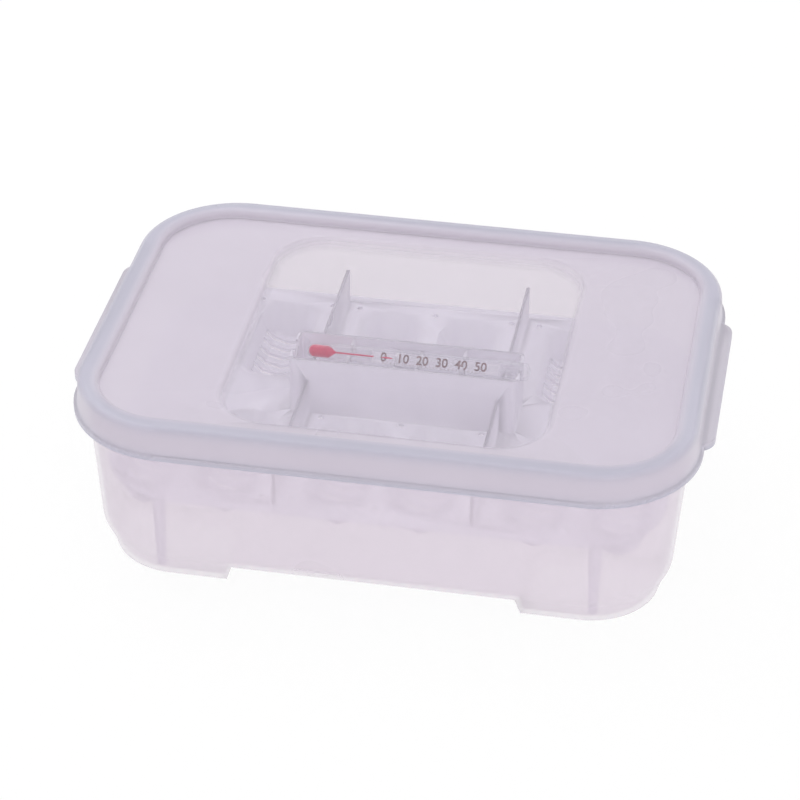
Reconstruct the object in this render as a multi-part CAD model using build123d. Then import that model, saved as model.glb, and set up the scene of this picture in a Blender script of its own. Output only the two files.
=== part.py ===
from build123d import *
import math
import os

os.makedirs("parts", exist_ok=True)

# Millimetres. X runs along the long side, Y across, and the foot soles stand on z = 0.

# Box
box_length = 226.6
box_width = 159.6
box_height = 73.4
box_corner = 35.3
box_wall = 1.5
box_draft = 3.5
box_edge_radius = 11.4
rim_lip = 1.0
rim_lip_height = 1.6
foot_height = 5.0
foot_draft = 15.0
foot_inner_x = 52.0
foot_inner_y = 32.0
foot_corner = 14.0
foot_chamfer = 1.5

# Lid
lid_clearance = 0.5
lid_seat_gap = 0.3
lid_wall = 1.2
lid_bead_wall = 1.6
skirt_flare = 5.0
hem = 0.9
hem_height = 2.0
skirt_depth = 12.9
bead_width = 8.6
bead_radius = 2.4
panel_depth = 3.7
panel_corner = 27.0
recess_length = 124.0
recess_width = 133.0
recess_corner = 20.0
recess_depth = 4.1
recess_slope = 35.0
ear_reach = 3.5
ear_width = 84.0
ear_corner = 7.0
ear_lip = 3.0

# Egg tray
tray_level = 39.0
tray_wall = 1.3
tray_end_gap = 3.6
tray_side_gap = 0.7
cup_radius = 13.3
cup_length = 57.0
cup_draft = 22.0
cup_facets = 6
cup_row_y = 39.0
cup_columns = [15.6, 58.4, 89.6]
slit_count = 6
slit_pitch = 6.0
slit_width = 2.5
slit_span = 19.0
vent_radius = 1.3
vent_sides = 8
vent_outer_y = 66.8
vent_outer_columns = [0.0, 31.4, 42.5, 72.0]
vent_inner_y = 12.6
vent_inner_columns = [0.0, 31.4]
divider_x = 37.0
divider_height = 15.0
divider_end_gap = 4.0
divider_tab = 2.5
leg_x = 82.5
leg_y = 66.4
leg_top_radius = 2.8
leg_bottom_radius = 1.8
leg_sides = 8
seat_gap = 0.3
trough_length = 88.7
trough_width = 20.4
trough_lid_gap = 3.5
trough_corner = 2.0
rib_x = 22.0
saddle_length = 9.0
saddle_drop = 3.0

# Thermometer, lying along X in the trough
tube_radius = 3.5
tube_wall = 0.6
tube_tip = -39.0
tube_end = 48.0
tube_below_rim = 1.8
tube_end_chamfer = 1.6
tube_gap = 0.3
bulb_radius = 2.8
bulb_length = 8.0
shoulder_length = 3.5
inner_gap = 0.1
spirit_cone = 3.6
column_radius = 0.3
column_end = -13.0
slug_start = -10.0
slug_end = -5.5
slug_radius = 0.32
capillary_wall = 0.5
capillary_end_gap = 5.0
scale_start = -14.0
scale_end = 36.0
scale_width = 4.6
scale_thickness = 0.25
scale_drop = 1.3
scale_roll = 45.0

# Levels and sizes that follow from the dimensions above
draft_slope = math.tan(math.radians(box_draft))
base_drop = box_height - foot_height
base_length = box_length - 2 * base_drop * draft_slope
base_width = box_width - 2 * base_drop * draft_slope
base_corner = box_corner - base_drop * draft_slope

lid_fit = rim_lip + lid_clearance
skirt_length = box_length + 2 * (lid_fit + lid_wall)
skirt_width = box_width + 2 * (lid_fit + lid_wall)
skirt_corner = box_corner + lid_fit + lid_wall
seat_level = box_height + lid_seat_gap
lid_top = seat_level + lid_bead_wall
skirt_bottom = lid_top - skirt_depth
panel_top = lid_top - panel_depth
panel_length = skirt_length - 2 * bead_width
panel_width = skirt_width - 2 * bead_width
recess_floor = panel_top - recess_depth
flare = skirt_depth * math.tan(math.radians(skirt_flare))
hem_length = skirt_length + 2 * (flare + hem)
hem_width = skirt_width + 2 * (flare + hem)
hem_corner = skirt_corner + flare + hem

tray_drop = box_height - tray_level
tray_cavity_length = box_length - 2 * (tray_drop * draft_slope + box_wall)
tray_cavity_width = box_width - 2 * (tray_drop * draft_slope + box_wall)
tray_length = tray_cavity_length - 2 * tray_end_gap
tray_width = tray_cavity_width - 2 * tray_side_gap
tray_corner = box_corner - tray_drop * draft_slope - box_wall - tray_side_gap
tray_underside = tray_level - tray_wall
trough_top = recess_floor - lid_wall - trough_lid_gap
trough_height = trough_top - tray_level
leg_seat = box_wall + seat_gap
tube_axis_z = trough_top - tube_below_rim

through = 2 * lid_top


def slab(length, width, corner, low, high):
    """Upright block with rounded corners between two levels."""
    return extrude(Pos(0, 0, low) * RectangleRounded(length, width, corner), high - low)


def tapered(outline, top, bottom, slope):
    """Block under a flat outline that narrows downwards by the slope, or widens if that is negative."""
    return Rot(180, 0, 0) * extrude(Pos(0, 0, -top) * outline, top - bottom, taper=slope)


def bottom_edges(body):
    """Edges round the lowest flat face."""
    return body.faces().sort_by(Axis.Z)[0].edges()


def corners(x, y):
    """The four places that mirror one corner position."""
    return [(side_x * x, side_y * y) for side_x in (-1, 1) for side_y in (-1, 1)]


def tub(inset):
    """Drafted tub with a rounded bottom edge, drawn in by the inset."""
    outline = RectangleRounded(box_length - 2 * inset, box_width - 2 * inset, box_corner - inset)
    body = tapered(outline, box_height, foot_height + inset, box_draft)
    return fillet(bottom_edges(body), box_edge_radius - inset)


def foot_lobes(inset):
    """Sloping lobe under one corner of the base, drawn in by the inset, and its three mirror images."""
    outline = RectangleRounded(base_length - 2 * inset, base_width - 2 * inset, base_corner - inset)
    x = foot_inner_x + inset + base_length / 2
    y = foot_inner_y + inset + base_width / 2
    block = Pos(-x, -y) * RectangleRounded(base_length, base_width, foot_corner)
    lobe = tapered(outline & block, foot_height + box_edge_radius, inset, foot_draft)
    lobe = chamfer(bottom_edges(lobe), foot_chamfer)
    left = [lobe, mirror(lobe, Plane.XZ)]
    return left + [mirror(half, Plane.YZ) for half in left]


def make_box():
    """Open box: drafted walls, hollow corner feet and a lip round the rim."""
    shell = tub(0) + foot_lobes(0)
    lip_length = box_length + 2 * rim_lip
    lip_width = box_width + 2 * rim_lip
    shell += slab(lip_length, lip_width, box_corner + rim_lip, box_height - rim_lip_height, box_height)
    return shell - (tub(box_wall) + foot_lobes(box_wall))


def make_ears():
    """Grip ears on both short ends, with a down-turned edge, clear of the lid itself."""
    length = hem_length + 2 * ear_reach
    plate_top = skirt_bottom + ear_lip
    plate_low = plate_top - lid_wall
    ears = slab(length, ear_width, ear_corner, skirt_bottom, plate_top)
    ears -= slab(
        length - 2 * lid_wall, ear_width - 2 * lid_wall, ear_corner - lid_wall, skirt_bottom, plate_low
    )
    return ears - skirt(0)


def skirt(inset):
    """Flared block that fills the lid's outline, drawn in by the inset."""
    outline = RectangleRounded(skirt_length - 2 * inset, skirt_width - 2 * inset, skirt_corner - inset)
    return tapered(outline, lid_top, skirt_bottom, -skirt_flare)


def recess(inset):
    """Sloping sides and floor of the central recess; a negative inset gives its underside."""
    outline = RectangleRounded(recess_length - 2 * inset, recess_width - 2 * inset, recess_corner - inset)
    return tapered(outline, panel_top, recess_floor + inset, recess_slope)


def panel(inset):
    """Block over the sunk panel; a negative inset gives its underside."""
    return slab(
        panel_length - 2 * inset, panel_width - 2 * inset, panel_corner - inset, panel_top + inset, through
    )


def make_lid():
    """Snap-on lid: rounded bead round the rim, sunk panel, clear central recess and grip ears."""
    body = skirt(0) - panel(0)
    body = fillet(body.edges().group_by(Axis.Z)[-1], bead_radius)
    body += slab(hem_length, hem_width, hem_corner, skirt_bottom, skirt_bottom + hem_height)
    hollow = skirt(lid_wall) - slab(hem_length, hem_width, hem_corner, seat_level, through)
    hollow = hollow - panel(-lid_wall) - recess(-lid_wall)
    return body - hollow - recess(0) + make_ears()


def cup_form(inset):
    """Oval cup with sloping ends and a round bottom, below z = 0, drawn in by the inset."""
    radius = cup_radius - inset
    straight = cup_length / 2 - cup_radius
    outline = []
    for end in (1, -1):
        for n in range(cup_facets + 1):
            angle = math.pi * n / cup_facets
            outline.append((end * radius * math.cos(angle), end * (straight + radius * math.sin(angle))))
    funnel = tapered(make_face(Polyline(*outline, close=True)), 0, -radius, cup_draft)
    bar = extrude(RegularPolygon(radius, 2 * cup_facets), through, both=True)
    return funnel & Rot(90, 0, 0) * bar


def make_cups():
    """Outer forms, hollows and floor slits of the twelve oval cups."""
    form = cup_form(0)
    hollow = cup_form(tray_wall)
    places = [place for x in cup_columns for place in corners(x, cup_row_y)]
    forms = [Pos(x, y, tray_level) * form for x, y in places]
    hollows = [Pos(x, y, tray_level) * hollow for x, y in places]
    slits = []
    for x, y in places:
        for n in range(slit_count):
            offset = (n - (slit_count - 1) / 2) * slit_pitch
            slits.append(Pos(x, y + offset, tray_level - cup_radius) * Box(slit_span, slit_width, cup_radius))
    return forms, hollows, slits


def make_tray():
    """Egg tray: perforated plate with oval slit cups, two dividers, four legs and a trough."""
    tray = slab(tray_length, tray_width, tray_corner, tray_underside, tray_level)
    forms, hollows, slits = make_cups()
    tray += forms
    leg_length = tray_underside - leg_seat
    leg_slope = math.degrees(math.atan((leg_top_radius - leg_bottom_radius) / leg_length))
    leg = tapered(RegularPolygon(leg_top_radius, leg_sides), tray_underside, leg_seat, leg_slope)
    tray += [Pos(x, y) * leg for x, y in corners(leg_x, leg_y)]
    tray -= hollows
    tray -= slits
    for x in (-divider_x, divider_x):
        length = tray_width - 2 * divider_end_gap
        wall = Box(tray_wall, length, divider_height + tray_wall)
        tray += Pos(x, 0, tray_underside + (divider_height + tray_wall) / 2) * wall
        for end in (-1, 1):
            tab = Box(tray_wall, tray_wall, divider_tab)
            tray += Pos(x, end * (length - tray_wall) / 2, tray_underside - divider_tab / 2) * tab
    tray = cut_trough(tray + trough_walls())
    vent = extrude(RegularPolygon(vent_radius, vent_sides), tray_wall)
    vents = [(x, vent_outer_y) for x in vent_outer_columns] + [(x, vent_inner_y) for x in vent_inner_columns]
    for x, y in vents:
        for place in set(corners(x, y)):
            tray -= Pos(*place, tray_underside) * vent
    return tray


def trough_walls():
    """Standing frame that carries the thermometer: outer wall, two ribs and the middle saddle."""
    inner_length = trough_length - 2 * tray_wall
    inner_width = trough_width - 2 * tray_wall
    frame = slab(trough_length, trough_width, trough_corner, tray_underside, trough_top)
    frame -= slab(inner_length, inner_width, trough_corner / 2, 0, through)
    for x in (-rib_x, rib_x):
        frame += Pos(x, 0, (tray_level + trough_top) / 2) * Box(tray_wall, inner_width, trough_height)
    saddle_top = trough_top - saddle_drop
    saddle_height = saddle_top - tray_level
    frame += Pos(0, 0, tray_level + saddle_height / 2) * Box(saddle_length, tray_wall, saddle_height)
    for x in (-1, 1):
        frame += Pos(x * saddle_length / 2, 0, tray_level + saddle_height / 2) * Box(
            tray_wall, inner_width, saddle_height
        )
    return frame


def cut_trough(tray):
    """Round seats for the thermometer tube through the ribs, saddle and end walls."""
    radius = tube_radius + tube_gap
    seat = Pos(0, 0, tube_axis_z) * Rot(0, 90, 0) * Cylinder(radius, tray_length)
    above = Pos(0, 0, tube_axis_z + through / 2) * Box(tray_length, 2 * radius, through)
    return tray - seat - above


def along_x(radius, start, end):
    """Round bar along the thermometer's axis."""
    return Pos((start + end) / 2, 0, tube_axis_z) * Rot(0, 90, 0) * Cylinder(radius, end - start)


def taper_along_x(start_radius, end_radius, start, end):
    """Tapered bar along the thermometer's axis."""
    return Pos((start + end) / 2, 0, tube_axis_z) * Rot(0, 90, 0) * Cone(start_radius, end_radius, end - start)


def glass_form(inset):
    """Turned outline of the sealed tube: bulb, shoulder and rounded end, drawn in by the inset."""
    tip = tube_tip + inset
    end = tube_end - inset
    bulb = bulb_radius - inset
    body = tube_radius - inset
    bulb_end = tube_tip + bulb_length
    outline = make_face(
        Polyline(
            (tip, 0),
            (tip, bulb),
            (bulb_end, bulb),
            (bulb_end + shoulder_length, body),
            (end, body),
            (end, 0),
            close=True,
        )
    )
    edge = outline.vertices().filter_by(lambda vertex: vertex.Y > 0).sort_by(Axis.X)
    outline = chamfer([edge[0], edge[-1]], tube_end_chamfer)
    return Pos(0, 0, tube_axis_z) * revolve(outline, Axis.X)


def make_tube():
    """Hollow sealed glass tube with the bulb at its left end."""
    return glass_form(0) - glass_form(tube_wall)


def make_spirit():
    """Coloured spirit: bulb filling, thread in the capillary and one broken-off drop."""
    inset = tube_wall + inner_gap
    start = tube_tip + inset
    radius = bulb_radius - inset
    bulb_end = tube_tip + bulb_length
    cone_end = bulb_end + spirit_cone
    filling = along_x(radius, start, bulb_end)
    filling = chamfer(filling.edges().sort_by(Axis.X)[0], tube_end_chamfer)
    filling += taper_along_x(radius, column_radius, bulb_end, cone_end)
    filling += along_x(column_radius, cone_end, column_end)
    drop = along_x(slug_radius, slug_start, slug_end)
    return Compound(children=[filling.solid(), drop.solid()])


def make_capillary():
    """Thick-walled glass thread that the spirit climbs in."""
    bore = column_radius + inner_gap
    start = tube_tip + bulb_length + spirit_cone
    end = tube_end - capillary_end_gap
    return along_x(bore + capillary_wall, start, end) - along_x(bore, start, end)


def make_scale():
    """Thin strip behind the capillary that carries the graduation."""
    length = scale_end - scale_start
    strip = Box(length, scale_width, scale_thickness)
    behind = Pos((scale_start + scale_end) / 2, 0, -scale_drop) * strip
    return Pos(0, 0, tube_axis_z) * Rot(scale_roll, 0, 0) * behind


pieces = {
    "box": make_box(),
    "lid": make_lid(),
    "egg_tray": make_tray(),
    "thermometer_tube": make_tube(),
    "thermometer_capillary": make_capillary(),
    "thermometer_spirit": make_spirit(),
    "thermometer_scale": make_scale(),
}

for name, piece in pieces.items():
    export_step(piece, f"parts/{name}.step")
    print(name, round(piece.volume, 1), piece.bounding_box().size)
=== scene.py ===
import bmesh
import bpy
import math
from mathutils import Matrix, Vector


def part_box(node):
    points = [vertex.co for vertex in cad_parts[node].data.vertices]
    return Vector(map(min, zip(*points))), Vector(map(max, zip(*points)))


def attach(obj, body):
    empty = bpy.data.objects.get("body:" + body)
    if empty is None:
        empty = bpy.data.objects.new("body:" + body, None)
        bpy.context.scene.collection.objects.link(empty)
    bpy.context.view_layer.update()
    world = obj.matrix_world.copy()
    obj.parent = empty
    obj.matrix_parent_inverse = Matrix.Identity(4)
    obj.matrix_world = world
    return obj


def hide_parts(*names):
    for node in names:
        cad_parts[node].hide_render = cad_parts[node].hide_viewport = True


bl_info = {
    "name": "Egg hatching tray",
    "version": (1, 0, 0),
    "blender": (4, 5, 0),
    "location": "View3D > Sidebar > Egg tray",
    "description": "Finishes and thermometer details of a lidded egg hatching tray",
    "category": "Object",
}

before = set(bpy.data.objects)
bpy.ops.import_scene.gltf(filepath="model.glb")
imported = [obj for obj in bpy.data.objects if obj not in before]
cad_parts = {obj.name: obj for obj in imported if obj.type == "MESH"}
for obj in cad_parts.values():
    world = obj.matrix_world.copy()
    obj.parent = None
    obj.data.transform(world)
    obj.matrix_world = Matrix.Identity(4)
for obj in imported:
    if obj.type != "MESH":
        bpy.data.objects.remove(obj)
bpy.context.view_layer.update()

LID_LOW, LID_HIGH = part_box("lid")
TUBE_LOW, TUBE_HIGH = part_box("thermometer_tube")
CAPILLARY_LOW, CAPILLARY_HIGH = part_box("thermometer_capillary")
SPIRIT_LOW, SPIRIT_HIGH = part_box("thermometer_spirit")
LID_MIDDLE_Z = (LID_LOW.z + LID_HIGH.z) / 2
TUBE_AXIS_Z = (CAPILLARY_LOW.z + CAPILLARY_HIGH.z) / 2
TUBE_RADIUS = (TUBE_HIGH.z - TUBE_LOW.z) / 2

FULL_TURN = 2 * math.pi
QUARTER_TURN = math.pi / 2
TURN_STEPS = 48
CURVE_STEPS = 8
WELD_DISTANCE = 1e-7
CREASE_ANGLE = math.radians(35)

NOISE_MIDDLE = 0.5
SHADE_MIDDLE = 0.5
ROUGHNESS_SWING = 0.2
ROUGHNESS_MIDDLE = 0.3
GRAIN_STRENGTH = 0.04
GRAIN_DEPTH = 0.0001
MASK_EDGE = 0.004
BEAD_TINT_AND_SHADE_POWER = 3.0

GLASS_SHADES = ((0.60, 0.60, 0.66), (0.70, 0.70, 0.75))
GLASS_FACE_ALPHA = 0.015
GLASS_EDGE_ALPHA = 0.75
GLASS_EDGE_POWER = 2.5
STRIP_SHADES = ((0.80, 0.77, 0.84), (0.88, 0.85, 0.91))
STRIP_ALPHA = 0.2

LONG_MARK_EXTRA = 0.6
INK_THICKNESS = 0.00003
MARK_ROW = (0, -0.0017, 0.00003)
FIGURE_ROW_Y = -0.0012
FIGURE_LIFT = 0.00004
FIGURE_THICKNESS = 0.00002
STROKE_GROWTH = 0.00007
FIGURE_SHARE_OF_FONT = 0.7

FLOOR_REACH = 4.0
FLOOR_COLOUR = (0.9, 0.9, 0.9, 1)
LAMP_AIM = (0, 0, 0.05)
TOP_LAMP_PLACE = (-0.5, 0.5, 1.2)
TOP_LAMP_SIZE = 0.9
TOP_LAMP_COLOUR = (1, 1, 1)
FRONT_LAMP_PLACE = (0.7, -1.2, 0.8)
FRONT_LAMP_SIZE = 0.7
FRONT_LAMP_SHARE = 0.6
FRONT_LAMP_COLOUR = (1, 0.99, 0.98)
SEE_THROUGH_LAYERS = 32


class PlasticSettings(bpy.types.PropertyGroup):
    box_colour: bpy.props.FloatVectorProperty(
        name="Box colour", description="Milky polypropylene of the box", subtype="COLOR",
        size=3, min=0, max=1, default=(0.70, 0.62, 0.705))
    lid_colour: bpy.props.FloatVectorProperty(
        name="Lid colour", description="Milky polypropylene of the lid", subtype="COLOR",
        size=3, min=0, max=1, default=(0.575, 0.525, 0.61))
    tray_colour: bpy.props.FloatVectorProperty(
        name="Tray colour", description="Milky polypropylene of the egg tray", subtype="COLOR",
        size=3, min=0, max=1, default=(0.69, 0.65, 0.745))
    # Cooler, darker colour for the top of the bead and the hem of the skirt: partly the plastic's
    # own tint, partly painted shade.
    bead_tint_and_painted_shade: bpy.props.FloatVectorProperty(
        name="Bead colour", description="Cooler plastic of the lid's thick bead and skirt",
        subtype="COLOR", size=3, min=0, max=1, default=(0.46, 0.455, 0.55))
    light_pass: bpy.props.FloatProperty(
        name="Light pass", description="How much more light than sight a milky wall lets through",
        subtype="FACTOR", min=0, max=1, default=0.8)
    box_haze: bpy.props.FloatProperty(
        name="Box haze", description="How much of the view one face of the box hides",
        subtype="FACTOR", min=0, max=1, default=0.36)
    lid_haze: bpy.props.FloatProperty(
        name="Lid haze", description="How much of the view one face of the lid hides",
        subtype="FACTOR", min=0, max=1, default=0.7)
    window_haze: bpy.props.FloatProperty(
        name="Window haze", description="The same in the clear recess of the lid",
        subtype="FACTOR", min=0, max=1, default=0.12)
    tray_haze: bpy.props.FloatProperty(
        name="Tray haze", description="How much of the view one face of the tray hides",
        subtype="FACTOR", min=0, max=1, default=0.75)
    window_length: bpy.props.FloatProperty(
        name="Window length", description="Clear recess along the long side",
        subtype="DISTANCE", unit="LENGTH", default=0.119)
    window_width: bpy.props.FloatProperty(
        name="Window width", description="Clear recess across the lid",
        subtype="DISTANCE", unit="LENGTH", default=0.128)
    window_corner: bpy.props.FloatProperty(
        name="Window corner", description="Corner radius of the clear recess",
        subtype="DISTANCE", unit="LENGTH", default=0.018)
    panel_length: bpy.props.FloatProperty(
        name="Panel length", description="Sunk panel along the long side",
        subtype="DISTANCE", unit="LENGTH", default=0.2148)
    panel_width: bpy.props.FloatProperty(
        name="Panel width", description="Sunk panel across the lid",
        subtype="DISTANCE", unit="LENGTH", default=0.1478)
    panel_corner: bpy.props.FloatProperty(
        name="Panel corner", description="Corner radius of the sunk panel",
        subtype="DISTANCE", unit="LENGTH", default=0.027)


class ThermometerSettings(bpy.types.PropertyGroup):
    spirit_colour: bpy.props.FloatVectorProperty(
        name="Spirit colour", description="Dyed spirit in the bulb and thread", subtype="COLOR",
        size=3, min=0, max=1, default=(0.55, 0.008, 0.07))
    ink_colour: bpy.props.FloatVectorProperty(
        name="Ink colour", description="Figures and graduation marks", subtype="COLOR",
        size=3, min=0, max=1, default=(0.10, 0.035, 0.03))
    first_figure_x: bpy.props.FloatProperty(
        name="First figure", description="Where the figure 0 stands along the tube",
        subtype="DISTANCE", unit="LENGTH", default=-0.0093)
    figure_pitch: bpy.props.FloatProperty(
        name="Figure pitch", description="Distance from one figure to the next",
        subtype="DISTANCE", unit="LENGTH", default=0.00756)
    figure_count: bpy.props.IntProperty(
        name="Figures", description="How many figures the scale carries", min=2, default=6)
    figure_step: bpy.props.IntProperty(
        name="Figure step", description="Degrees from one figure to the next", min=1, default=10)
    figure_height: bpy.props.FloatProperty(
        name="Figure height", description="Height of the figures",
        subtype="DISTANCE", unit="LENGTH", default=0.0034)
    marks_per_figure: bpy.props.IntProperty(
        name="Marks per figure", description="Graduation marks from one figure to the next",
        min=1, default=5)
    mark_length: bpy.props.FloatProperty(
        name="Mark length", description="Length of a short graduation mark",
        subtype="DISTANCE", unit="LENGTH", default=0.0006)
    mark_width: bpy.props.FloatProperty(
        name="Mark width", description="Width of a graduation mark along the tube",
        subtype="DISTANCE", unit="LENGTH", default=0.00014)
    scale_roll: bpy.props.FloatProperty(
        name="Scale roll", description="How far the scale is rolled towards the reader",
        subtype="ANGLE", unit="ROTATION", default=math.radians(45))
    scale_drop: bpy.props.FloatProperty(
        name="Scale drop", description="How far the strip lies behind the capillary",
        subtype="DISTANCE", unit="LENGTH", default=0.0013)
    bulb_radius: bpy.props.FloatProperty(
        name="Bulb radius", description="Outer radius of the bulb",
        subtype="DISTANCE", unit="LENGTH", default=0.0028)
    bulb_length: bpy.props.FloatProperty(
        name="Bulb length", description="From the tip to the start of the shoulder",
        subtype="DISTANCE", unit="LENGTH", default=0.008)
    shoulder_length: bpy.props.FloatProperty(
        name="Shoulder length", description="From the bulb to the full tube",
        subtype="DISTANCE", unit="LENGTH", default=0.0035)
    end_round: bpy.props.FloatProperty(
        name="End rounding", description="Length of the rounded ends",
        subtype="DISTANCE", unit="LENGTH", default=0.0022)
    glass_wall: bpy.props.FloatProperty(
        name="Glass wall", description="Thickness of the tube",
        subtype="DISTANCE", unit="LENGTH", default=0.0006)
    bulb_wall: bpy.props.FloatProperty(
        name="Bulb wall", description="Thinner glass round the bulb",
        subtype="DISTANCE", unit="LENGTH", default=0.0003)
    spirit_gap: bpy.props.FloatProperty(
        name="Spirit gap", description="Kept between the spirit and the glass",
        subtype="DISTANCE", unit="LENGTH", default=0.0001)
    cone_length: bpy.props.FloatProperty(
        name="Cone length", description="From the bulb to the thread",
        subtype="DISTANCE", unit="LENGTH", default=0.0036)
    thread_radius: bpy.props.FloatProperty(
        name="Thread radius", description="Radius of the spirit thread",
        subtype="DISTANCE", unit="LENGTH", default=0.0003)
    thread_end: bpy.props.FloatProperty(
        name="Thread end", description="Where the unbroken thread ends along the tube",
        subtype="DISTANCE", unit="LENGTH", default=-0.013)
    drop_length: bpy.props.FloatProperty(
        name="Drop length", description="Length of the drop that has parted from the thread",
        subtype="DISTANCE", unit="LENGTH", default=0.0045)
    scale_thickness: bpy.props.FloatProperty(
        name="Scale thickness", description="Thickness of the strip",
        subtype="DISTANCE", unit="LENGTH", default=0.00025)


class StageSettings(bpy.types.PropertyGroup):
    azimuth: bpy.props.FloatProperty(
        name="Azimuth", description="How far the camera stands round to the right",
        subtype="ANGLE", unit="ROTATION", default=math.radians(10.21))
    elevation: bpy.props.FloatProperty(
        name="Elevation", description="How far the camera looks down",
        subtype="ANGLE", unit="ROTATION", default=math.radians(34.35))
    roll: bpy.props.FloatProperty(
        name="Roll", description="Turn of the camera about its own axis",
        subtype="ANGLE", unit="ROTATION", default=math.radians(0.23))
    distance: bpy.props.FloatProperty(
        name="Distance", description="From the camera to the object along the view",
        subtype="DISTANCE", unit="LENGTH", default=1.1258)
    aim_right: bpy.props.FloatProperty(
        name="Aim right", description="Sideways place of the aim from the origin",
        subtype="DISTANCE", unit="LENGTH", default=-0.00242)
    aim_up: bpy.props.FloatProperty(
        name="Aim up", description="Upward place of the aim from the origin",
        subtype="DISTANCE", unit="LENGTH", default=0.03498)
    lens: bpy.props.FloatProperty(
        name="Lens", description="Focal length", subtype="DISTANCE_CAMERA", default=127.9)
    sky_strength: bpy.props.FloatProperty(
        name="Sky", description="Strength of the even light from all round", default=0.95)
    lamp_power: bpy.props.FloatProperty(
        name="Lamp", description="Power of the soft lamp overhead", subtype="POWER",
        unit="POWER", default=4.0)
    shadow_share: bpy.props.FloatProperty(
        name="Shadow share", description="How much of its shadow the floor shows",
        subtype="FACTOR", min=0, max=1, default=0.12)


def link_object(name, data):
    """New object in the scene, at the origin."""
    obj = bpy.data.objects.new(name, data)
    bpy.context.scene.collection.objects.link(obj)
    return obj


def new_group(name, inputs, outputs):
    """Shader node group with named number inputs and outputs."""
    tree = bpy.data.node_groups.new(name, "ShaderNodeTree")
    kind = "NodeSocketFloat"
    for label, value in inputs.items():
        socket = tree.interface.new_socket(label, in_out="INPUT", socket_type=kind)
        socket.default_value = value
    for label in outputs:
        tree.interface.new_socket(label, in_out="OUTPUT", socket_type=kind)
    return tree, tree.nodes.new("NodeGroupInput"), tree.nodes.new("NodeGroupOutput")


def set_inputs(node, **values):
    """Sets a node's inputs by name, with an underscore for each space."""
    for label, value in values.items():
        node.inputs[label.replace("_", " ")].default_value = value
    return node


def add_node(tree, kind, **values):
    """New node with some of its inputs set."""
    return set_inputs(tree.nodes.new(kind), **values)


def maths(tree, operation, *values):
    """Math node whose operands are sockets or numbers; gives its output."""
    node = tree.nodes.new("ShaderNodeMath")
    node.operation = operation
    for socket, value in zip(node.inputs, values):
        if isinstance(value, (int, float)):
            socket.default_value = value
        else:
            tree.links.new(value, socket)
    return node.outputs[0]


def object_axes(tree):
    """A point's X, Y and Z on its own piece."""
    place = tree.nodes.new("ShaderNodeTexCoord")
    split = tree.nodes.new("ShaderNodeSeparateXYZ")
    tree.links.new(place.outputs["Object"], split.inputs[0])
    return split.outputs


def surface_group():
    """Faint flow marks and fine grain of a moulded plastic or drawn glass surface."""
    tree, given, result = new_group(
        "moulded_surface",
        {"Grain scale": 900.0, "Flow scale": 14.0, "Unevenness": 0.5},
        ("Height", "Shade", "Roughness"),
    )
    place = tree.nodes.new("ShaderNodeTexCoord")
    grain = add_node(tree, "ShaderNodeTexNoise", Detail=3)
    flow = add_node(tree, "ShaderNodeTexNoise", Detail=2)
    for noise, scale in ((grain, "Grain scale"), (flow, "Flow scale")):
        tree.links.new(place.outputs["Object"], noise.inputs["Vector"])
        tree.links.new(given.outputs[scale], noise.inputs["Scale"])
    swing = maths(tree, "SUBTRACT", flow.outputs["Fac"], NOISE_MIDDLE)
    shade = maths(tree, "MULTIPLY_ADD", swing, given.outputs["Unevenness"], SHADE_MIDDLE)
    rough = maths(tree, "MULTIPLY_ADD", swing, ROUGHNESS_SWING, ROUGHNESS_MIDDLE)
    tree.links.new(grain.outputs["Fac"], result.inputs["Height"])
    tree.links.new(shade, result.inputs["Shade"])
    tree.links.new(rough, result.inputs["Roughness"])
    return tree


def window_group():
    """Mask that is 1 inside a rounded rectangle about the origin and 0 outside it."""
    tree, given, result = new_group(
        "rounded_window",
        {"Length": 0.12, "Width": 0.13, "Corner": 0.02, "Soft edge": MASK_EDGE},
        ("Mask",),
    )
    axes = object_axes(tree)
    corner = given.outputs["Corner"]
    squares = []
    for axis, size in (("X", "Length"), ("Y", "Width")):
        half = maths(tree, "MULTIPLY", given.outputs[size], 0.5)
        inner = maths(tree, "SUBTRACT", half, corner)
        reach = maths(tree, "SUBTRACT", maths(tree, "ABSOLUTE", axes[axis]), inner)
        squares.append(maths(tree, "POWER", maths(tree, "MAXIMUM", reach, 0.0), 2.0))
    outside = maths(tree, "SUBTRACT", maths(tree, "SQRT", maths(tree, "ADD", *squares)), corner)
    share = maths(tree, "DIVIDE", outside, given.outputs["Soft edge"])
    mask = maths(tree, "SUBTRACT", 1.0, share)
    mask.node.use_clamp = True
    tree.links.new(mask, result.inputs["Mask"])
    return tree


def shared_group(name, build):
    """The named node group, built the first time it is asked for."""
    return bpy.data.node_groups.get(name) or build()


def add_group(tree, group, **values):
    """Places a node group in a material and sets its inputs."""
    node = tree.nodes.new("ShaderNodeGroup")
    node.node_tree = group
    return set_inputs(node, **values)


def new_material(name):
    """Material with a Principled shader; gives the material, its tree and the shader."""
    material = bpy.data.materials.new(name)
    material.use_nodes = True
    tree = material.node_tree
    return material, tree, tree.nodes["Principled BSDF"]


def mix_colours(tree, factor, first, second):
    """Mix of two colours or colour sockets, driven by a factor socket."""
    mix = tree.nodes.new("ShaderNodeMix")
    mix.data_type = "RGBA"
    tree.links.new(factor, mix.inputs[0])
    for socket, colour in ((mix.inputs[6], first), (mix.inputs[7], second)):
        if isinstance(colour, bpy.types.NodeSocket):
            tree.links.new(colour, socket)
        else:
            socket.default_value = (*colour, 1)
    return mix.outputs[2]


def shaded(colour, factor):
    """The colour made lighter or darker."""
    return tuple(min(1.0, channel * factor) for channel in colour)


def marked_material(name, darker, lighter, flow_scale, unevenness):
    """Material whose colour swings between two shades with the surface's flow marks."""
    material, tree, shader = new_material(name)
    group = shared_group("moulded_surface", surface_group)
    marks = add_group(tree, group, Flow_scale=flow_scale, Unevenness=unevenness)
    tint = mix_colours(tree, marks.outputs["Shade"], darker, lighter)
    tree.links.new(tint, shader.inputs["Base Color"])
    return material, tree, shader, marks


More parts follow.
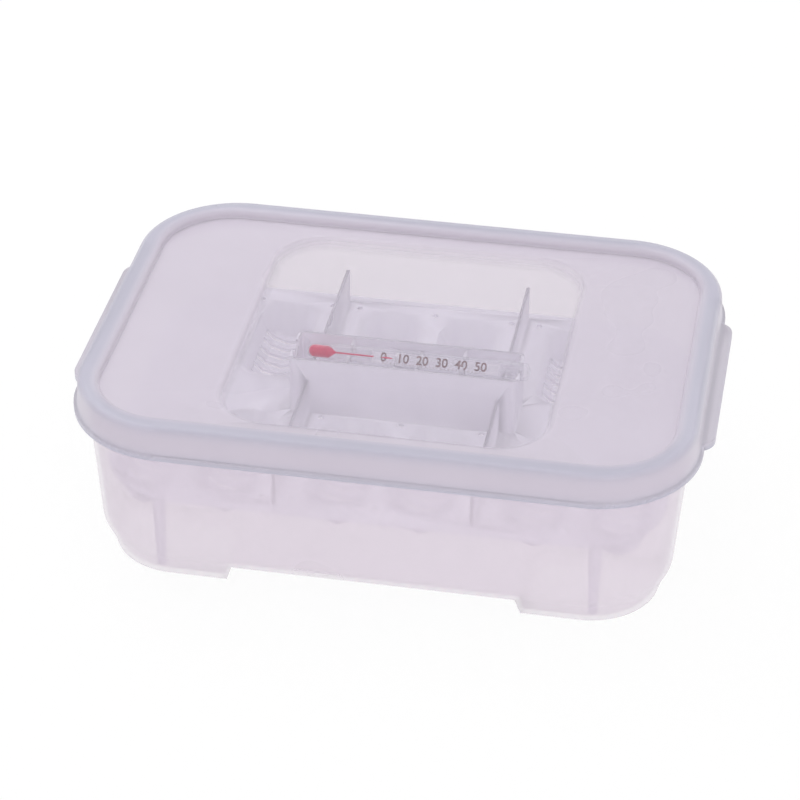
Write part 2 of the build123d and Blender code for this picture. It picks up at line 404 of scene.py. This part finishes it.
def wall_alpha(tree, haze, light_pass):
    """What a wall hides from the eye; light on its way to other surfaces meets less of it."""
    path = tree.nodes.new("ShaderNodeLightPath")
    onward = maths(tree, "MAXIMUM", path.outputs["Is Shadow Ray"], path.outputs["Is Diffuse Ray"])
    kept = maths(tree, "MULTIPLY_ADD", onward, -light_pass, 1.0)
    return maths(tree, "MULTIPLY", haze, kept)


def plastic_material(name, colour):
    """Polypropylene with flow marks, fine grain and a soft gloss, still solid to the eye."""
    material, tree, shader, marks = marked_material(
        name, shaded(colour, 0.96), shaded(colour, 1.04), flow_scale=16.0, unevenness=0.9
    )
    tree.links.new(marks.outputs["Roughness"], shader.inputs["Roughness"])
    lift = add_node(tree, "ShaderNodeBump", Strength=GRAIN_STRENGTH, Distance=GRAIN_DEPTH)
    tree.links.new(marks.outputs["Height"], lift.inputs["Height"])
    tree.links.new(lift.outputs["Normal"], shader.inputs["Normal"])
    set_inputs(shader, IOR=1.45, Coat_Weight=0.15, Coat_Roughness=0.12)
    return material, tree, shader


def milky_material(name, colour, haze, light_pass):
    """Milky plastic that hides the same share of the view all over."""
    material, tree, shader = plastic_material(name, colour)
    tree.links.new(wall_alpha(tree, haze, light_pass), shader.inputs["Alpha"])
    return material


def rounded_mask(tree, length, width, corner):
    """1 inside a rounded rectangle of that size, 0 outside it."""
    group = shared_group("rounded_window", window_group)
    window = add_group(
        tree, group, Length=length, Width=width, Corner=corner, Soft_edge=MASK_EDGE
    )
    return window.outputs["Mask"]


def lid_material(settings):
    """The lid's plastic, clearer inside the recess, and cooler and darker towards the top and
    bottom of the lid outside the sunk panel: partly a cooler tint of the plastic, partly painted
    shade along the bead and the hem.
    """
    material, tree, shader = plastic_material("milky_lid", settings.lid_colour)
    window = rounded_mask(
        tree, settings.window_length, settings.window_width, settings.window_corner
    )
    span = settings.window_haze - settings.lid_haze
    haze = maths(tree, "MULTIPLY_ADD", window, span, settings.lid_haze)
    tree.links.new(wall_alpha(tree, haze, settings.light_pass), shader.inputs["Alpha"])
    panel = rounded_mask(
        tree, settings.panel_length, settings.panel_width, settings.panel_corner
    )
    # Towards the top and bottom of the lid, outside the sunk panel, the colour turns to the bead
    # colour. This is partly the plastic's cooler tint and partly painted shade along the bead and
    # the hem.
    height = maths(tree, "SUBTRACT", object_axes(tree)["Z"], LID_MIDDLE_Z)
    away = maths(tree, "DIVIDE", maths(tree, "ABSOLUTE", height), LID_HIGH.z - LID_MIDDLE_Z)
    thick = maths(tree, "POWER", away, BEAD_TINT_AND_SHADE_POWER)
    outside = maths(tree, "SUBTRACT", 1.0, panel)
    bead = maths(tree, "MULTIPLY", thick, outside)
    base = shader.inputs["Base Color"]
    tint = base.links[0].from_socket
    tree.links.new(mix_colours(tree, bead, tint, settings.bead_tint_and_painted_shade), base)
    return material


def glass_material():
    """Clear drawn glass: nearly unseen face on, greyer towards its edges, faintly marked."""
    material, tree, shader, _ = marked_material(
        "clear_glass", *GLASS_SHADES, flow_scale=60.0, unevenness=0.2
    )
    edge = add_node(tree, "ShaderNodeLayerWeight", Blend=0.5)
    rim = maths(tree, "POWER", edge.outputs["Facing"], GLASS_EDGE_POWER)
    alpha = maths(tree, "MULTIPLY_ADD", rim, GLASS_EDGE_ALPHA, GLASS_FACE_ALPHA)
    tree.links.new(alpha, shader.inputs["Alpha"])
    set_inputs(shader, Roughness=0.03, IOR=1.5, Coat_Weight=1.0, Coat_Roughness=0.02)
    return material


def spirit_material(colour):
    """Dyed spirit with darker and lighter patches along the thread."""
    material, _, shader, _ = marked_material(
        "red_spirit",
        shaded(colour, 0.8),
        shaded(colour, 1.25),
        flow_scale=120.0,
        unevenness=1.2,
    )
    set_inputs(shader, Roughness=0.3, Specular_IOR_Level=0.25)
    return material


def strip_material():
    """Pale scale strip that is mostly see-through."""
    material, tree, shader, marks = marked_material(
        "pale_strip", *STRIP_SHADES, flow_scale=80.0, unevenness=0.6
    )
    tree.links.new(marks.outputs["Roughness"], shader.inputs["Roughness"])
    set_inputs(shader, Alpha=STRIP_ALPHA)
    return material


def ink_material(colour):
    """Printed ink, a little thin in places."""
    material, _, shader, _ = marked_material(
        "brown_ink",
        shaded(colour, 0.7),
        shaded(colour, 1.8),
        flow_scale=400.0,
        unevenness=1.6,
    )
    set_inputs(shader, Roughness=0.5)
    return material


def give_material(obj, material):
    """Makes the material the object's only one."""
    obj.data.materials.clear()
    obj.data.materials.append(material)


def smooth_shell(node, name, body, material):
    """Welded copy of a moulding with soft shading, in place of its loose triangles."""
    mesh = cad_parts[node].data.copy()
    mesh.name = name
    work = bmesh.new()
    work.from_mesh(mesh)
    bmesh.ops.remove_doubles(work, verts=work.verts, dist=WELD_DISTANCE)
    for face in work.faces:
        face.smooth = True
    work.to_mesh(mesh)
    work.free()
    mesh.set_sharp_from_angle(angle=CREASE_ANGLE)
    shell = link_object(name, mesh)
    weigh = shell.modifiers.new("even_normals", "WEIGHTED_NORMAL")
    weigh.keep_sharp = True
    give_material(shell, material)
    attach(shell, body)
    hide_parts(node)
    return shell


def turn_profile(work, profile, inwards=False):
    """Turns (x, radius) points about the thermometer's axis into one closed surface."""
    points = [work.verts.new((x, 0, TUBE_AXIS_Z + radius)) for x, radius in profile]
    line = [work.edges.new(pair) for pair in zip(points, points[1:])]
    bmesh.ops.spin(
        work,
        geom=points + line,
        cent=(0, 0, TUBE_AXIS_Z),
        axis=(1, 0, 0),
        angle=FULL_TURN,
        steps=TURN_STEPS,
    )
    bmesh.ops.remove_doubles(work, verts=work.verts, dist=WELD_DISTANCE)
    faces = [face for face in work.faces if not face.tag]
    bmesh.ops.recalc_face_normals(work, faces=faces)
    if inwards:
        bmesh.ops.reverse_faces(work, faces=faces)
    for face in faces:
        face.tag = True
        face.smooth = True


def turned_piece(name, profiles, material):
    """Piece of the thermometer made of closed turned surfaces."""
    work = bmesh.new()
    for profile, inwards in profiles:
        turn_profile(work, profile, inwards)
    mesh = bpy.data.meshes.new(name)
    work.to_mesh(mesh)
    work.free()
    piece = link_object(name, mesh)
    give_material(piece, material)
    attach(piece, "thermometer")
    return piece


def round_end(tip, radius, length, side):
    """Points of a rounded end from its pole; side is 1 where the piece goes on along +X."""
    points = []
    for n in range(CURVE_STEPS + 1):
        angle = n * QUARTER_TURN / CURVE_STEPS
        points.append((tip + side * length * (1 - math.cos(angle)), radius * math.sin(angle)))
    return points


def smooth_step(start, end, first, last):
    """Points that swing from the first radius to the last one."""
    points = []
    for n in range(CURVE_STEPS + 1):
        share = n / CURVE_STEPS
        swing = share * share * (3 - 2 * share)
        points.append((start + share * (end - start), first + swing * (last - first)))
    return points


def glass_profile(settings, inset, bulb_inset):
    """Outline of the sealed tube, with bulb, shoulder and round ends, set in by a wall."""
    bulb = settings.bulb_radius - bulb_inset
    body = TUBE_RADIUS - inset
    shoulder = TUBE_LOW.x + settings.bulb_length
    profile = round_end(TUBE_LOW.x + bulb_inset, bulb, settings.end_round, 1)
    profile += smooth_step(shoulder, shoulder + settings.shoulder_length, bulb, body)
    profile += reversed(round_end(TUBE_HIGH.x - inset, body, settings.end_round, -1))
    return profile


def spirit_profile(settings):
    """Outline of the spirit: bulb filling, cone and thread."""
    radius = settings.bulb_radius - settings.bulb_wall - settings.spirit_gap
    cone = TUBE_LOW.x + settings.bulb_length
    thread = settings.thread_radius
    profile = round_end(SPIRIT_LOW.x, radius, settings.end_round, 1)
    profile += smooth_step(cone, cone + settings.cone_length, radius, thread)
    profile += reversed(round_end(settings.thread_end, thread, thread, -1))
    return profile


def drop_profile(settings):
    """Outline of the spindle-shaped drop that has parted from the thread."""
    half = settings.drop_length / 2
    start = SPIRIT_HIGH.x - settings.drop_length
    radius = settings.thread_radius
    return (
        round_end(start, radius, half, 1) + round_end(SPIRIT_HIGH.x, radius, half, -1)[-2::-1]
    )


def evaluated_mesh(obj, name):
    """Plain mesh of an object with its modifiers applied."""
    graph = bpy.context.evaluated_depsgraph_get()
    mesh = bpy.data.meshes.new_from_object(obj.evaluated_get(graph))
    mesh.name = name
    return mesh


def scale_place(settings):
    """Turns the flat scale, drawn about the origin, onto the face of the strip."""
    face = settings.scale_thickness / 2 - settings.scale_drop
    lift = Matrix.Translation((0, 0, face))
    turn = Matrix.Rotation(settings.scale_roll, 4, "X")
    return Matrix.Translation((0, 0, TUBE_AXIS_Z)) @ turn @ lift


def graduation_tree():
    """Geometry Nodes: a row of short marks, longer where a figure stands."""
    tree = bpy.data.node_groups.new("graduation_marks", "GeometryNodeTree")
    for label, kind in (
        ("Count", "NodeSocketInt"),
        ("Marks per figure", "NodeSocketInt"),
        ("Pitch", "NodeSocketFloat"),
        ("Start", "NodeSocketFloat"),
        ("Mark length", "NodeSocketFloat"),
        ("Mark width", "NodeSocketFloat"),
        ("Ink thickness", "NodeSocketFloat"),
        ("Ink", "NodeSocketMaterial"),
    ):
        tree.interface.new_socket(label, in_out="INPUT", socket_type=kind)
    tree.interface.new_socket("Geometry", in_out="OUTPUT", socket_type="NodeSocketGeometry")
    given = tree.nodes.new("NodeGroupInput")
    result = tree.nodes.new("NodeGroupOutput")
    start = add_node(tree, "ShaderNodeCombineXYZ")
    step = add_node(tree, "ShaderNodeCombineXYZ")
    size = add_node(tree, "ShaderNodeCombineXYZ")
    row = add_node(tree, "GeometryNodeMeshLine")
    bar = add_node(tree, "GeometryNodeMeshCube")
    index = add_node(tree, "GeometryNodeInputIndex")
    order = maths(tree, "MODULO", index.outputs[0], given.outputs["Marks per figure"])
    at_figure = maths(tree, "LESS_THAN", order, 0.5)
    longer = maths(tree, "MULTIPLY_ADD", at_figure, LONG_MARK_EXTRA, 1.0)
    stretch = add_node(tree, "ShaderNodeCombineXYZ", X=1.0, Z=1.0)
    spread = add_node(tree, "GeometryNodeInstanceOnPoints")
    solid = add_node(tree, "GeometryNodeRealizeInstances")
    paint = add_node(tree, "GeometryNodeSetMaterial")
    for source, target in (
        (given.outputs["Start"], start.inputs["X"]),
        (given.outputs["Pitch"], step.inputs["X"]),
        (given.outputs["Mark width"], size.inputs["X"]),
        (given.outputs["Mark length"], size.inputs["Y"]),
        (given.outputs["Ink thickness"], size.inputs["Z"]),
        (given.outputs["Count"], row.inputs["Count"]),
        (start.outputs[0], row.inputs["Start Location"]),
        (step.outputs[0], row.inputs["Offset"]),
        (size.outputs[0], bar.inputs["Size"]),
        (longer, stretch.inputs["Y"]),
        (row.outputs["Mesh"], spread.inputs["Points"]),
        (bar.outputs["Mesh"], spread.inputs["Instance"]),
        (stretch.outputs[0], spread.inputs["Scale"]),
        (spread.outputs["Instances"], solid.inputs["Geometry"]),
        (solid.outputs["Geometry"], paint.inputs["Geometry"]),
        (given.outputs["Ink"], paint.inputs["Material"]),
        (paint.outputs["Geometry"], result.inputs["Geometry"]),
    ):
        tree.links.new(source, target)
    return tree


def set_modifier_inputs(modifier, tree, values):
    """Sets a Geometry Nodes modifier's inputs by their sockets' identifiers."""
    for item in tree.interface.items_tree:
        if item.in_out == "INPUT" and item.name in values:
            modifier[item.identifier] = values[item.name]


def make_graduation(settings, ink):
    """Graduation marks along the lower edge of the strip."""
    tree = graduation_tree()
    holder = link_object("graduation_holder", bpy.data.meshes.new("graduation_holder"))
    modifier = holder.modifiers.new("graduation", "NODES")
    modifier.node_group = tree
    pitch = settings.figure_pitch / settings.marks_per_figure
    values = {
        "Count": (settings.figure_count - 1) * settings.marks_per_figure + 1,
        "Marks per figure": settings.marks_per_figure,
        "Pitch": pitch,
        "Start": settings.first_figure_x,
        "Mark length": settings.mark_length,
        "Mark width": settings.mark_width,
        "Ink thickness": INK_THICKNESS,
        "Ink": ink,
    }
    set_modifier_inputs(modifier, tree, values)
    mesh = evaluated_mesh(holder, "graduation_marks")
    bpy.data.objects.remove(holder)
    marks = link_object("graduation_marks", mesh)
    mesh.transform(scale_place(settings) @ Matrix.Translation(MARK_ROW))
    return marks


def make_figures(settings, ink):
    """Plain figures above the graduation marks, as one mesh."""
    work = bmesh.new()
    for n in range(settings.figure_count):
        text = bpy.data.curves.new("figure", "FONT")
        text.body = str(n * settings.figure_step)
        text.size = settings.figure_height / FIGURE_SHARE_OF_FONT
        text.align_x = "CENTER"
        text.extrude = FIGURE_THICKNESS
        text.offset = STROKE_GROWTH
        holder = link_object("figure_holder", text)
        mesh = evaluated_mesh(holder, "figure")
        x = settings.first_figure_x + n * settings.figure_pitch
        mesh.transform(Matrix.Translation((x, FIGURE_ROW_Y, FIGURE_LIFT)))
        work.from_mesh(mesh)
        bpy.data.objects.remove(holder)
        bpy.data.meshes.remove(mesh)
        bpy.data.curves.remove(text)
    work.transform(scale_place(settings))
    bmesh.ops.recalc_face_normals(work, faces=work.faces)
    mesh = bpy.data.meshes.new("scale_figures")
    work.to_mesh(mesh)
    work.free()
    figures = link_object("scale_figures", mesh)
    give_material(figures, ink)
    return figures


class EGGTRAY_OT_box(bpy.types.Operator):
    """Gives the box its milky plastic"""

    bl_idname = "eggtray.box"
    bl_label = "Box"

    def execute(self, context):
        settings = context.scene.eggtray_plastic
        plastic = milky_material(
            "milky_box", settings.box_colour, settings.box_haze, settings.light_pass
        )
        smooth_shell("box", "box_shell", "box", plastic)
        return {"FINISHED"}


class EGGTRAY_OT_tray(bpy.types.Operator):
    """Gives the egg tray its milky plastic"""

    bl_idname = "eggtray.tray"
    bl_label = "Egg tray"

    def execute(self, context):
        settings = context.scene.eggtray_plastic
        plastic = milky_material(
            "milky_tray", settings.tray_colour, settings.tray_haze, settings.light_pass
        )
        smooth_shell("egg_tray", "egg_tray_shell", "tray", plastic)
        return {"FINISHED"}


class EGGTRAY_OT_lid(bpy.types.Operator):
    """Gives the lid its milky plastic with the clear recess"""

    bl_idname = "eggtray.lid"
    bl_label = "Lid"

    def execute(self, context):
        plastic = lid_material(context.scene.eggtray_plastic)
        smooth_shell("lid", "lid_shell", "lid", plastic)
        return {"FINISHED"}


class EGGTRAY_OT_thermometer(bpy.types.Operator):
    """Gives the thermometer its glass, spirit and strip"""

    bl_idname = "eggtray.thermometer"
    bl_label = "Thermometer"

    def execute(self, context):
        settings = context.scene.eggtray_thermometer
        glass = glass_material()
        walls = [
            (glass_profile(settings, 0, 0), False),
            (glass_profile(settings, settings.glass_wall, settings.bulb_wall), True),
        ]
        tube = turned_piece("glass_tube", walls, glass)
        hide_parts("thermometer_tube")
        smooth_shell("thermometer_capillary", "glass_capillary", "thermometer", glass)
        parts = [(spirit_profile(settings), False), (drop_profile(settings), False)]
        red = spirit_material(settings.spirit_colour)
        spirit = turned_piece("spirit_thread", parts, red)
        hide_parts("thermometer_spirit")
        give_material(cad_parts["thermometer_scale"], strip_material())
        return {"FINISHED"}


class EGGTRAY_OT_graduation(bpy.types.Operator):
    """Prints the figures and graduation marks on the strip"""

    bl_idname = "eggtray.graduation"
    bl_label = "Graduation"

    def execute(self, context):
        settings = context.scene.eggtray_thermometer
        ink = ink_material(settings.ink_colour)
        for print_piece in (make_graduation(settings, ink), make_figures(settings, ink)):
            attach(print_piece, "thermometer")
        return {"FINISHED"}


def add_area_lamp(name, place, size, power, colour):
    """Soft square lamp at a place, turned towards the middle of the box."""
    light = bpy.data.lights.new(name, "AREA")
    light.shape = "SQUARE"
    light.size = size
    light.energy = power
    light.color = colour
    lamp = link_object(name, light)
    lamp.location = place
    lamp.rotation_mode = "QUATERNION"
    lamp.rotation_quaternion = (Vector(place) - Vector(LAMP_AIM)).to_track_quat("Z", "Y")


def seen_directly(tree):
    """1 for camera, glossy and transmission rays, which see the white background."""
    path = tree.nodes.new("ShaderNodeLightPath")
    either = maths(tree, "MAXIMUM", path.outputs["Is Camera Ray"], path.outputs["Is Glossy Ray"])
    return maths(tree, "MAXIMUM", either, path.outputs["Is Transmission Ray"])


def make_floor(settings):
    """White floor that keeps a faint shadow."""
    work = bmesh.new()
    bmesh.ops.create_grid(work, x_segments=1, y_segments=1, size=FLOOR_REACH)
    mesh = bpy.data.meshes.new("floor")
    work.to_mesh(mesh)
    work.free()
    floor = link_object("floor", mesh)
    material, tree, shader = new_material("white_floor")
    set_inputs(shader, Base_Color=FLOOR_COLOUR, Roughness=1.0, Specular_IOR_Level=0.0)
    glow = tree.nodes.new("ShaderNodeEmission")
    mix = tree.nodes.new("ShaderNodeMixShader")
    share = maths(tree, "MULTIPLY", seen_directly(tree), 1 - settings.shadow_share)
    tree.links.new(share, mix.inputs["Fac"])
    tree.links.new(shader.outputs[0], mix.inputs[1])
    tree.links.new(glow.outputs[0], mix.inputs[2])
    tree.links.new(mix.outputs[0], tree.nodes["Material Output"].inputs["Surface"])
    give_material(floor, material)


def make_sky(settings):
    """Even light from all round, white where it is seen."""
    world = bpy.data.worlds.new("studio")
    world.use_nodes = True
    tree = world.node_tree
    sky = tree.nodes["Background"]
    span = 1 - settings.sky_strength
    strength = maths(tree, "MULTIPLY_ADD", seen_directly(tree), span, settings.sky_strength)
    sky.inputs["Color"].default_value = (1, 1, 1, 1)
    tree.links.new(strength, sky.inputs["Strength"])
    bpy.context.scene.world = world


def make_camera(settings):
    """Camera at the photograph's viewing angle."""
    turn = settings.azimuth
    rise = settings.elevation
    level = math.cos(rise)
    back = Vector((math.sin(turn) * level, -math.cos(turn) * level, math.sin(rise)))
    right = Vector((math.cos(turn), math.sin(turn), 0))
    up = back.cross(right)
    roll = Matrix.Rotation(settings.roll, 3, back)
    right = roll @ right
    up = roll @ up
    data = bpy.data.cameras.new("camera")
    data.lens = settings.lens
    camera = link_object("camera", data)
    aim = right * settings.aim_right + up * settings.aim_up
    camera.location = back * settings.distance + aim
    camera.rotation_mode = "QUATERNION"
    camera.rotation_quaternion = Matrix((right, up, back)).transposed().to_quaternion()
    bpy.context.scene.camera = camera


class EGGTRAY_OT_stage(bpy.types.Operator):
    """Sets up the white floor, the light and the camera"""

    bl_idname = "eggtray.stage"
    bl_label = "Stage"

    def execute(self, context):
        settings = context.scene.eggtray_stage
        make_floor(settings)
        make_sky(settings)
        make_camera(settings)
        power = settings.lamp_power
        add_area_lamp("top_lamp", TOP_LAMP_PLACE, TOP_LAMP_SIZE, power, TOP_LAMP_COLOUR)
        add_area_lamp(
            "front_lamp",
            FRONT_LAMP_PLACE,
            FRONT_LAMP_SIZE,
            FRONT_LAMP_SHARE * power,
            FRONT_LAMP_COLOUR,
        )
        context.scene.view_settings.view_transform = "Standard"
        context.scene.cycles.transparent_max_bounces = SEE_THROUGH_LAYERS
        return {"FINISHED"}


class EGGTRAY_PT_panel(bpy.types.Panel):
    """Sidebar panel that lists the pieces"""

    bl_idname = "EGGTRAY_PT_panel"
    bl_label = "Egg tray"
    bl_space_type = "VIEW_3D"
    bl_region_type = "UI"
    bl_category = "Egg tray"

    def draw(self, context):
        for operator in OPERATORS:
            self.layout.operator(operator.bl_idname)
        for settings in (
            context.scene.eggtray_plastic,
            context.scene.eggtray_thermometer,
            context.scene.eggtray_stage,
        ):
            for name in settings.__annotations__:
                self.layout.prop(settings, name)


SETTINGS = {
    "eggtray_plastic": PlasticSettings,
    "eggtray_thermometer": ThermometerSettings,
    "eggtray_stage": StageSettings,
}
OPERATORS = (
    EGGTRAY_OT_box,
    EGGTRAY_OT_tray,
    EGGTRAY_OT_lid,
    EGGTRAY_OT_thermometer,
    EGGTRAY_OT_graduation,
    EGGTRAY_OT_stage,
)


def register():
    for group in SETTINGS.values():
        bpy.utils.register_class(group)
    for operator in OPERATORS:
        bpy.utils.register_class(operator)
    bpy.utils.register_class(EGGTRAY_PT_panel)
    for name, group in SETTINGS.items():
        setattr(bpy.types.Scene, name, bpy.props.PointerProperty(type=group))


def unregister():
    for name in SETTINGS:
        delattr(bpy.types.Scene, name)
    bpy.utils.unregister_class(EGGTRAY_PT_panel)
    for operator in reversed(OPERATORS):
        bpy.utils.unregister_class(operator)
    for group in reversed(list(SETTINGS.values())):
        bpy.utils.unregister_class(group)


def main():
    register()
    bpy.ops.eggtray.box()
    bpy.ops.eggtray.tray()
    bpy.ops.eggtray.lid()
    bpy.ops.eggtray.thermometer()
    bpy.ops.eggtray.graduation()
    bpy.ops.eggtray.stage()


if __name__ == "__main__":
    main()
